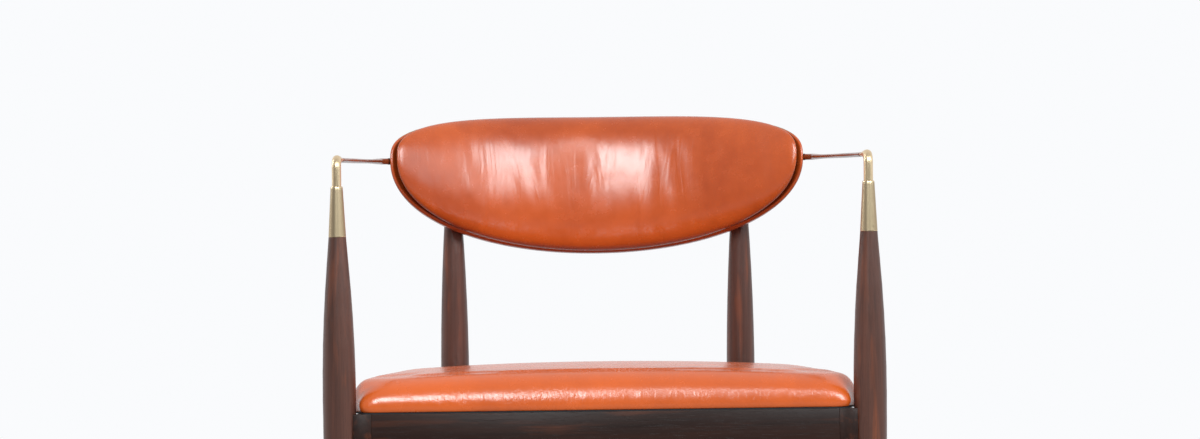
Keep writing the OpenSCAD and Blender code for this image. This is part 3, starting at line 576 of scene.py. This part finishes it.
def swell(piece, pinned, pressure, most):
    """Swells a piece as cloth under pressure, outwards only and no further than most."""
    rest = [(v.co.copy(), v.normal.copy()) for v in piece.data.vertices]
    group = piece.vertex_groups.new(name="pinned")
    group.add([i for i, (co, _) in enumerate(rest) if pinned(co)], 1, "REPLACE")
    cloth = piece.modifiers.new("Swell", "CLOTH")
    piece.modifiers.move(len(piece.modifiers) - 1, 0)
    cloth.settings.quality = 5
    cloth.settings.mass = 0.4
    cloth.settings.tension_stiffness = 20
    cloth.settings.compression_stiffness = 20
    cloth.settings.bending_stiffness = 2
    cloth.settings.use_pressure = True
    cloth.settings.uniform_pressure_force = pressure
    cloth.settings.effector_weights.gravity = 0
    cloth.settings.vertex_group_mass = "pinned"
    shown = [m for m in piece.modifiers if m != cloth]
    for m in shown:
        m.show_viewport = False
    last_frame = 20
    for number in range(1, last_frame + 1):
        bpy.context.scene.frame_set(number)
    swollen = piece.evaluated_get(bpy.context.evaluated_depsgraph_get()).to_mesh()
    moved = [v.co.copy() for v in swollen.vertices]
    piece.modifiers.remove(cloth)
    piece.vertex_groups.remove(group)
    for v, (old, outward), new in zip(piece.data.vertices, rest, moved):
        v.co = old + outward * clamp(outward.dot(new - old), 0, most)
    for m in shown:
        m.show_viewport = True
    bpy.context.scene.frame_set(1)


def clamp(value, low, high):
    return max(low, min(high, value))


def ease(value, start, end):
    """Rises smoothly from 0 at start to 1 at end."""
    share = clamp((value - start) / (end - start), 0, 1)
    return share * share * (3 - 2 * share)


def waves(table, across, along, third):
    """The sum of a table's random waves at a place given by three measures."""
    return sum(
        depth * noise.noise(Vector((across * rates[0] + along * rates[1], third * rates[2], seed)))
        for depth, rates, seed in table
    )


def seat_place(seat):
    """How a slab becomes the seat: rings of a rounded outline, rolled in, crowned and sloped."""
    middle = (seat.rear - seat.front) / 2
    long_x = seat.half_width - seat.slack
    long_y = (seat.rear + seat.front) / 2 - seat.slack
    to_row = Matrix.Translation((0, LEG_Y, seat.rail_top)) @ Matrix.Rotation(-seat.slope, 4, "X")
    # Share of the slab's half size at which the roll starts
    roll_from = 0.72
    # Depths behind the front legs' centres between which the seat widens
    widens = (0.002, 0.038)
    # Powers of the crown across the seat, and of the wrinkles' growth towards its edges
    crown_power = 2.2
    edge_power = 8

    def ring(blank, inset, side_inset, rounder=0.0):
        """Where a direction of the square meets a ring that lies inside the outline."""
        size = max(abs(blank.x), abs(blank.y))
        if size < 1e-9:
            return Vector((0, 0, 0))
        a, b = long_x - side_inset, long_y - inset
        r = seat.corner + seat.corner_growth * rounder
        p = Vector((blank.x / size * a, blank.y / size * b, 0))
        core = Vector((clamp(p.x, r - a, a - r), clamp(p.y, r - b, b - r), 0))
        return core + (p - core).normalized() * r

    def width_at(depth):
        return seat.half_width - seat.taper * depth + seat.overhang * ease(depth, *widens)

    def place(blank):
        size = max(abs(blank.x), abs(blank.y))
        lift = 0.0
        below = 0.0
        if blank.z == 1 and size < roll_from:
            p = ring(blank, seat.roll, seat.side_roll, 1) * (size / roll_from)
            lift = 1.0
        elif blank.z == 1:
            turn = (1 - (size - roll_from) / (1 - roll_from)) * math.pi / 2
            drawn = 1 - math.cos(turn)
            lift = math.sin(turn)
            p = ring(blank, seat.roll * drawn, seat.side_roll * drawn, lift)
        else:
            turn = (1 - blank.z) * math.pi / 2
            drawn = seat.tuck * (1 - math.cos(turn))
            p = ring(blank, drawn, drawn) * (size if blank.z == 0 else 1)
            below = math.sin(turn)
        across = p.x / long_x
        along = p.y / long_y
        p.y -= seat.pull_in * (1 - across * across) * max(0, along) ** 3
        p.y += middle
        run = clamp((p.y + seat.front) / (seat.rear + seat.front), 0, 1)
        p.x *= (width_at(p.y) - seat.pull_in * 4 * run * (1 - run)) / seat.half_width
        crown = seat.crown_across * (1 - abs(across) ** crown_power)
        crown += seat.crown_along * (1 - along * along)
        pulled = math.sin(min(lift * 3, 1) * math.pi) * 0.6 + 0.4 * (1 - lift)
        wrinkle = waves(SEAT_WRINKLES, p.x, p.y, lift)
        p.x += math.copysign(seat.wrinkle * wrinkle * pulled, p.x) * abs(across) ** edge_power
        p.y += math.copysign(seat.wrinkle * wrinkle * pulled, along) * abs(along) ** edge_power
        top = seat.side_height - seat.slack + crown
        p.z = seat.fullest + (top - seat.fullest) * lift - (seat.fullest - seat.lower) * below
        return to_row @ p

    return place


class BackForm:
    """The back: its outline seen from the front, u across and v up from the arms, and its bend."""

    # Half length and height of the spine, the line that the outline is drawn in towards
    SPINE = 0.150
    SPINE_V = -0.032
    # Height of the outline's middle, and about half of its full height
    MIDDLE_V = -0.034
    HALF_HEIGHT = 0.089
    # Roundness of the outline's top and bottom, as powers of its width and of its height
    TOP = (3.8, 3)
    BOTTOM = (2.05, 2.15)
    # The most that the pad is drawn in at the outline's top and bottom
    EDGE_INSET = 0.001
    # How much closer together the slab's rows get towards the outline
    CLOSENESS = 1.4

    def __init__(self, back, inset=0.0):
        self.back = back
        self.half = back.half_width - inset
        self.rise = back.rise - min(inset, self.EDGE_INSET)
        self.drop = back.drop - min(inset, self.EDGE_INSET)
        tip = math.sqrt(back.bend ** 2 - back.half_width ** 2)
        self.tip = tip
        shell_top = self.sheared(0, back.rise - back.shell_roll)
        reach = back.shell_rear * math.cos(back.recline) + shell_top * math.sin(back.recline)
        axis_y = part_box("back_shell_leather")[1].y - reach
        axis_z = back.arm_height + tip * math.sin(back.recline)
        self.to_row = Matrix.Translation((0, axis_y, axis_z)) @ Matrix.Rotation(-back.recline, 4, "X")

    def sheared(self, u, v):
        """Height along the bent board at which a point is seen at v from the front."""
        run = math.sqrt(self.back.bend ** 2 - u * u) - self.tip
        return (v + run * math.sin(self.back.recline)) / math.cos(self.back.recline)

    def on_bend(self, u, v, radius, forward=0.0):
        """The place seen at u and v on a bend of that radius, or a distance in front of it."""
        return self.to_row @ Vector((u, math.sqrt(radius ** 2 - u * u) - forward, self.sheared(u, v)))

    def inside(self, u, v):
        k = abs(u) / self.half
        if k >= 1:
            return False
        top = self.rise * (1 - k ** self.TOP[0]) ** (1 / self.TOP[1])
        bottom = -self.drop * (1 - k ** self.BOTTOM[0]) ** (1 / self.BOTTOM[1])
        return bottom < v < top

    def reach(self, start, way):
        """How many times way leads from start to the outline."""
        low, high = 0.0, 4.0 * self.half / max(1e-9, math.hypot(*way))
        halvings = 34
        for _ in range(halvings):
            half = (low + high) / 2
            if self.inside(start[0] + way[0] * half, start[1] + way[1] * half):
                low = half
            else:
                high = half
        return low

    def spine(self, u):
        return clamp(u, -self.SPINE, self.SPINE), self.SPINE_V

    def point(self, a, b, drawn=0.0):
        """Where a point of the square lies in the outline, which is drawn in towards the spine."""
        x = a * math.sqrt(1 - b * b / 2)
        y = b * math.sqrt(1 - a * a / 2)
        far = math.hypot(x, y)
        if far < 1e-9:
            return 0.0, self.MIDDLE_V
        way = (self.half * x / far, self.HALF_HEIGHT * y / far)
        size = self.reach((0, self.MIDDLE_V), way)
        u = way[0] * size
        v = self.MIDDLE_V + way[1] * size
        su, sv = self.spine(u)
        step = drawn / math.hypot(u - su, v - sv)
        u += (su - u) * step
        v += (sv - v) * step
        share = 1 - (1 - min(1, far)) ** self.CLOSENESS
        return u * share, self.MIDDLE_V + (v - self.MIDDLE_V) * share

    def way_in(self, u, v):
        """Share of the way from the outline in to the spine."""
        su, sv = self.spine(u)
        way = (u - su, v - sv)
        if math.hypot(*way) < 1e-7:
            return 1.0
        return clamp(1 - 1 / max(1, self.reach((su, sv), way)), 0, 1)


def pad_place(form):
    """How a slab becomes the front pad of the back."""
    back = form.back
    seam_gap = 0.0003
    rear = back.shell_front - seam_gap
    # Powers that make the pad full near its edge and nearly level further in
    crown_powers = (2.6, 2.2)

    def place(blank):
        if blank.z == 0:
            u, v = form.point(blank.x, blank.y, back.pad_tuck)
            return form.on_bend(u, v, rear)
        if blank.z < 1:
            turn = (1 - blank.z) * math.pi / 2
            u, v = form.point(blank.x, blank.y, back.pad_tuck * (1 - math.cos(turn)))
            return form.on_bend(u, v, rear, back.pad_bulge * (1 - math.sin(turn)))
        u, v = form.point(blank.x, blank.y)
        crown = (1 - (1 - form.way_in(u, v)) ** crown_powers[0]) ** (1 / crown_powers[1])
        thin = 1 - back.pad_thinning * (u / back.half_width) ** 2
        ripple = waves(PAD_RIPPLES, u, v, v)
        full = back.pad_thickness - back.pad_bulge
        forward = back.pad_bulge + full * thin * crown + ripple * crown
        return form.on_bend(u, v, rear, forward)

    return place


def shell_place(form):
    """How a slab becomes the outer shell of the back, with rolled edges."""
    back = form.back
    depth = back.shell_rear - back.shell_front

    def place(blank):
        turn = clamp(1 - 2 * blank.z, -1, 1) * math.pi / 2
        drawn = back.shell_roll * (1 - math.cos(turn))
        u, v = form.point(blank.x, blank.y, drawn)
        radius = back.shell_front + depth / 2 + (depth / 2 - back.shell_roll) * (1 if turn > 0 else -1)
        radius += back.shell_roll * math.sin(turn)
        return form.on_bend(u, v, radius)

    return place


class ArmPath:
    """The middle line of a right arm: from the bend back and in to the end of the chair's back."""

    def __init__(self, arms, back):
        self.arms = arms
        self.z = back.arm_height
        form = BackForm(back)
        just_inside = 0.99999
        tip = form.on_bend(back.half_width * just_inside, 0, back.bend)
        heading = math.asin(back.half_width / back.bend)
        self.tail_way = Vector((-math.cos(heading), math.sin(heading), 0))
        self.tip = Vector((tip.x, tip.y, self.z))
        start = Vector((LEG_X, LEG_Y + arms.bend, self.z))
        end = self.tip - arms.grommet * self.tail_way
        self.points = (
            start, start + Vector((arms.bow, arms.reach, 0)), end - arms.turn * self.tail_way, end
        )

    def level(self, t):
        """Place and heading at t, from 0 at the bend to 1 at the grommet."""
        a, b, c, d = self.points
        s = 1 - t
        here = s ** 3 * a + 3 * s * s * t * b + 3 * s * t * t * c + t ** 3 * d
        way = s * s * (b - a) + 2 * s * t * (c - b) + t * t * (d - c)
        return here, way.normalized()

    def thinness(self, t):
        return ease(t, *THINS_OUT) * (1 - ease(t, *TURNS_ROUND))

    def flatness(self, t):
        return ease(t, *GETS_FLAT) * (1 - ease(t, *TURNS_ROUND))

    def half_sizes(self, t):
        """Half the rod's width and half its thickness at t."""
        arms = self.arms
        round_size = arms.rod if t < 0.5 else arms.tail
        flat_size = arms.flat_width / 2 * (1 - FLAT_NARROWING * t)
        wide = round_size + (flat_size - round_size) * self.flatness(t)
        thick = round_size + (arms.flat_thickness / 2 - round_size) * self.thinness(t)
        return wide, thick

    def section(self, blank, here, way, wide, thick, flat, side=None):
        """Where a point of a round blank lies across the way; flat squares the section's corners."""
        side = side or Vector((way.y, -way.x, 0)).normalized()
        up = side.cross(way).normalized()
        power = 1 / (1 + flat)
        c = math.copysign(abs(blank.x) ** power, blank.x)
        s = math.copysign(abs(blank.y) ** power, blank.y)
        return here + side * wide * c + up * thick * s

    def on_level(self, blank, t, more=0.0):
        here, way = self.level(t)
        wide, thick = self.half_sizes(t)
        return self.section(blank, here, way, wide + more, thick + more, self.flatness(t))


def mirrored(bm):
    """Turns a right-hand shape into its left-hand twin."""
    bmesh.ops.scale(bm, vec=(-1, 1, 1), verts=bm.verts)
    bmesh.ops.reverse_faces(bm, faces=bm.faces)
    return bm


def rod_shape(path, mirror):
    """One smooth brass rod: upright, bend, flattened arm and round tail."""
    arms = path.arms
    # How many stations each part of the rod has
    upright, bend, level, tail = 3, 12, 60, 2
    stations = upright + bend + level + tail
    bottom = FERRULE_TOP - ROD_DEPTH
    # Length of the tail between two stations
    tail_step = 0.02
    bm = tube(sides=32, stations=stations)
    side = Vector((1, 0, 0))

    def place(blank):
        k = round(blank.z * stations)
        if k < upright:
            here = Vector((LEG_X, LEG_Y, bottom + (path.z - arms.bend - bottom) * k / upright))
            return path.section(blank, here, UP, arms.rod, arms.rod, 0, side)
        if k < upright + bend:
            turn = (k - upright) / bend * math.pi / 2
            back = arms.bend * (1 - math.cos(turn))
            under = arms.bend * (1 - math.sin(turn))
            here = Vector((LEG_X, LEG_Y + back, path.z - under))
            way = Vector((0, math.sin(turn), math.cos(turn)))
            return path.section(blank, here, way, arms.rod, arms.rod, 0, side)
        if k <= upright + bend + level:
            return path.on_level(blank, (k - upright - bend) / level)
        inward = path.tip + path.tail_way * tail_step * (k - upright - bend - level)
        return path.section(blank, inward, path.tail_way, arms.tail, arms.tail, 0)

    shape(bm, place)
    return mirrored(bm) if mirror else bm


def sleeve_shape(path, mirror):
    """The leather on an arm: a sleeve that starts behind the bend and ends at the grommet."""
    # How much the sleeve's edge at the bend is thinned, over which share, and its gap at the grommet
    lip = 0.0004
    lip_share = 0.012
    gap = 0.0004
    end = 1 - gap / path.arms.turn
    bm = tube(sides=36, stations=90, capped=False)

    def place(blank):
        t = SLEEVE_START + (end - SLEEVE_START) * blank.z
        thinned = lip * (1 - ease(blank.z, 0, lip_share))
        return path.on_level(blank, t, path.arms.leather - thinned)

    shape(bm, place)
    return mirrored(bm) if mirror else bm


class ARMCHAIR_OT_seat(Operator):
    """Makes the crowned leather seat"""

    bl_idname = "armchair.seat"
    bl_label = "Seat"

    def execute(self, context):
        settings = context.scene.armchair
        seat = settings.seat
        finishes = settings.finishes
        bm = slab(columns=100, rows=78, layers=5)
        shape(bm, seat_place(seat))
        # The seat's light parts use the lighter seat leather, as painted light
        material = leather_finish(
            "seat_leather_finish", finishes.seat_leather, finishes.leather, crease_axis=0,
            puckered_below=0.442
        )
        piece = finish_piece("seat_cover", bm, material, ("seat_leather", "seat_foam"))
        subdivide(piece)
        slope = math.tan(seat.slope)

        def held(co):
            return co.z < seat.rail_top - (co.y - LEG_Y) * slope + seat.fullest

        swell(piece, held, pressure=4.0, most=seat.swell)
        return {"FINISHED"}


class ARMCHAIR_OT_back(Operator):
    """Makes the back: its front pad and its outer shell"""

    bl_idname = "armchair.back"
    bl_label = "Back"

    def execute(self, context):
        settings = context.scene.armchair
        finishes = settings.finishes
        back = settings.back
        form = BackForm(back, back.pad_inset)
        # Radii from the bend's axis between which the leather gets painted shade in the groove
        groove_shade_inner = back.shell_front - back.pad_bulge + 0.0025
        groove_shade_outer = back.shell_front + 0.0004
        painted_groove_shade = (form.to_row, groove_shade_inner, groove_shade_outer)
        material = leather_finish(
            "back_leather_finish", finishes.leather, finishes.leather_deep, crease_axis=0, painted_groove_shade=painted_groove_shade
        )
        bm = slab(columns=104, rows=40, layers=8)
        shape(bm, pad_place(form))
        covered = ("back_pad_leather", "back_pad_foam")
        pad = finish_piece("back_pad_cover", bm, material, covered)
        subdivide(pad)
        bm = slab(columns=104, rows=40, layers=12)
        shape(bm, shell_place(BackForm(back)))
        shell = finish_piece("back_shell_cover", bm, material, ("back_shell_leather",))
        subdivide(shell)
        return {"FINISHED"}


class ARMCHAIR_OT_arms(Operator):
    """Makes the brass arm rods and their leather sleeves"""

    bl_idname = "armchair.arms"
    bl_label = "Arms"

    def execute(self, context):
        settings = context.scene.armchair
        finishes = settings.finishes
        path = ArmPath(settings.arms, settings.back)
        # The rods wear a lighter copy of the brass, as painted highlight
        brass = brass_finish("rod_brass_finish", toned(finishes.brass, 1.35), dull=0.26)
        # The sleeves wear the darker arm leather, as painted shade
        leather = leather_finish(
            "sleeve_leather_finish", finishes.arm_leather, toned(finishes.arm_leather, 0.6),
            crease_axis=1, fold_depth=0.0001
        )
        rod_gap = 0.0002
        for hand, mirror in (("left", True), ("right", False)):
            bm = rod_shape(path, mirror)
            subdivide(finish_piece("brass_rod_" + hand, bm, brass, ("arm_rod_" + hand,)))
            bm = sleeve_shape(path, mirror)
            covered = ("arm_leather_" + hand,)
            sleeve = finish_piece("arm_sleeve_" + hand, bm, leather, covered)
            wall = sleeve.modifiers.new("Wall", "SOLIDIFY")
            wall.thickness = settings.arms.leather - rod_gap
            wall.offset = -1
            subdivide(sleeve)
        return {"FINISHED"}


class ARMCHAIR_OT_frame(Operator):
    """Finishes the wood, brass and small parts of the frame"""

    bl_idname = "armchair.frame"
    bl_label = "Frame Finishes"

    def execute(self, context):
        finishes = context.scene.armchair.finishes
        upright = walnut_finish("walnut_upright_finish", finishes, along=2)
        # The rails get a darker copy of the walnut, as painted shade under the seat
        shaded_crosswise = walnut_finish("walnut_crosswise_painted_shade_finish", finishes, along=0, painted_shade=0.24, shine=0.2)
        shaded_lengthwise = walnut_finish("walnut_lengthwise_painted_shade_finish", finishes, along=1, painted_shade=0.24, shine=0.2)
        raw = raw_wood_finish("raw_wood_finish", finishes.plywood)
        steel = steel_finish("screw_steel_finish")
        top_polish_and_glint = (FERRULE_TOP - 0.0014, FERRULE_TOP + 0.001)
        low_polish_and_glint = (ferrule_low.z - 0.001, ferrule_low.z + 0.0009)
        # The ferrules and pins wear a darker copy of the brass, as painted shade
        turned_brass = brass_finish(
            "ferrule_brass_finish", toned(finishes.brass, 0.8), dull=0.36, polished_glint_rims=(top_polish_and_glint, low_polish_and_glint)
        )
        black = moulded_finish("grommet_finish", GROMMET_BROWN, roughness=0.4)
        bevel = 0.0006
        for hand in ("left", "right"):
            smooth_copy("turned_front_leg_" + hand, "front_leg_" + hand, upright)
            smooth_copy("turned_rear_leg_" + hand, "rear_leg_" + hand, upright)
            smooth_copy("eased_side_rail_" + hand, "side_rail_" + hand, shaded_lengthwise, bevel)
            smooth_copy("brass_ferrule_" + hand, "ferrule_" + hand, turned_brass)
        smooth_copy("eased_front_rail", "front_rail", shaded_crosswise, bevel)
        smooth_copy("eased_rear_rail", "rear_rail", shaded_crosswise, bevel)
        smooth_copy("moulded_grommets", "arm_grommets", black)
        looks = {
            turned_brass: ("ferrule_pins",),
            raw: ("rail_dowels", "corner_blocks", "seat_board", "back_shell_board", "back_pad_board"),
            steel: ("block_screws", "rear_leg_screws", "seat_screws", "pad_screws", "back_screws"),
            moulded_finish("glide_finish", GLIDE_BLACK, roughness=0.55): ("foot_glides",),
            cloth_finish("dust_cloth_finish", finishes.cloth): ("dust_cover",),
        }
        for material, names in looks.items():
            for name in names:
                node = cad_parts[name]
                node.data.materials.clear()
                node.data.materials.append(material)
        return {"FINISHED"}


def lamp(name, place, size, power):
    """A soft oblong lamp of cool daylight that the camera doesn't see."""
    data = bpy.data.lights.new(name, "AREA")
    data.color = LAMP_COLOUR
    data.shape = "RECTANGLE"
    data.size, data.size_y = size
    data.energy = power
    made = bpy.data.objects.new(name, data)
    made.location = place
    made.rotation_euler = (Vector(LAMP_TARGET) - Vector(place)).to_track_quat("-Z", "Y").to_euler()
    made.visible_camera = False
    bpy.context.scene.collection.objects.link(made)


def floor_finish(background, dim_room):
    """Pale floor: it holds the chair's shadow nearby and fades into the background further out."""
    f = Finish("floor_finish")
    distance = f.node("VectorMath", {0: f.point()}, "Value", operation="LENGTH")
    away = f.rise(distance, FLOOR_PLAIN, FLOOR_PLAIN + FLOOR_FADE)
    tone = f.mix(f.ray("Camera"), FLOOR_CAST, FLOOR_SEEN)
    plain = f.node("BsdfDiffuse", {"Color": tone})
    glow = f.backdrop("Emission", background, f.coordinate(f.point(), "Y"), FLOOR_ROOM, dim_room)
    f.show(f.node("MixShader", {0: f.looked_at() * away, 1: plain, 2: glow}))
    return f.material


class ARMCHAIR_OT_stage(Operator):
    """Makes the floor, the white background, the lamps and the camera"""

    bl_idname = "armchair.stage"
    bl_label = "Stage"

    def execute(self, context):
        scene = context.scene
        stage = scene.armchair.stage
        background = scene.armchair.finishes.background
        bm = bmesh.new()
        bmesh.ops.create_circle(bm, cap_ends=True, segments=96, radius=stage.floor_radius)
        mesh = bpy.data.meshes.new("floor")
        bm.to_mesh(mesh)
        bm.free()
        mesh.materials.append(floor_finish(background, stage.dim_room))
        floor = bpy.data.objects.new("floor", mesh)
        scene.collection.objects.link(floor)
        self.light(scene, stage, background)
        self.aim_camera(scene, stage)
        return {"FINISHED"}

    def light(self, scene, stage, background):
        world = bpy.data.worlds.new("studio")
        scene.world = world
        world.use_nodes = True
        f = Nodes(world.node_tree, "World")
        depth = f.coordinate(f.node("TexCoord", output="Generated"), "Y")
        around = f.node("Background", {"Color": (1, 1, 1), "Strength": stage.ambient})
        white = f.backdrop("Background", background, depth, WORLD_ROOM, stage.dim_room)
        f.show(f.node("MixShader", {0: f.looked_at(), 1: around, 2: white}))
        for name, (place, size, power) in LAMPS.items():
            lamp(name, place, size, power)

    def aim_camera(self, scene, stage):
        data = bpy.data.cameras.new("camera")
        data.lens = stage.lens
        data.sensor_width = 36
        camera = bpy.data.objects.new("camera", data)
        place = Matrix.Translation((stage.camera_x, LEG_Y - stage.camera_distance, stage.camera_height))
        turned = Matrix.Rotation(-stage.camera_yaw, 4, "Z") @ Matrix.Rotation(math.pi / 2, 4, "X")
        tilted = Matrix.Rotation(-stage.camera_pitch, 4, "X")
        rolled = Matrix.Rotation(-stage.camera_roll, 4, "Z")
        camera.matrix_world = place @ turned @ tilted @ rolled
        scene.collection.objects.link(camera)
        scene.camera = camera
        scene.view_settings.view_transform = "Standard"


class ARMCHAIR_PT_panel(Panel):
    """Lists the steps that dress the armchair"""

    bl_idname = "ARMCHAIR_PT_panel"
    bl_label = "Armchair"
    bl_space_type = "VIEW_3D"
    bl_region_type = "UI"
    bl_category = "Armchair"

    def draw(self, context):
        for step in STEPS:
            self.layout.operator(step.bl_idname)


STEPS = (
    ARMCHAIR_OT_stage,
    ARMCHAIR_OT_frame,
    ARMCHAIR_OT_arms,
    ARMCHAIR_OT_seat,
    ARMCHAIR_OT_back,
)
CLASSES = (
    ArmchairSeat,
    ArmchairBack,
    ArmchairArms,
    ArmchairFinishes,
    ArmchairStage,
    ArmchairSettings,
    *STEPS,
    ARMCHAIR_PT_panel,
)


def register():
    for made in CLASSES:
        bpy.utils.register_class(made)
    bpy.types.Scene.armchair = PointerProperty(type=ArmchairSettings)


def unregister():
    del bpy.types.Scene.armchair
    for made in reversed(CLASSES):
        bpy.utils.unregister_class(made)


def main():
    register()
    bpy.ops.armchair.stage()
    bpy.ops.armchair.frame()
    bpy.ops.armchair.arms()
    bpy.ops.armchair.seat()
    bpy.ops.armchair.back()


if __name__ == "__main__":
    main()
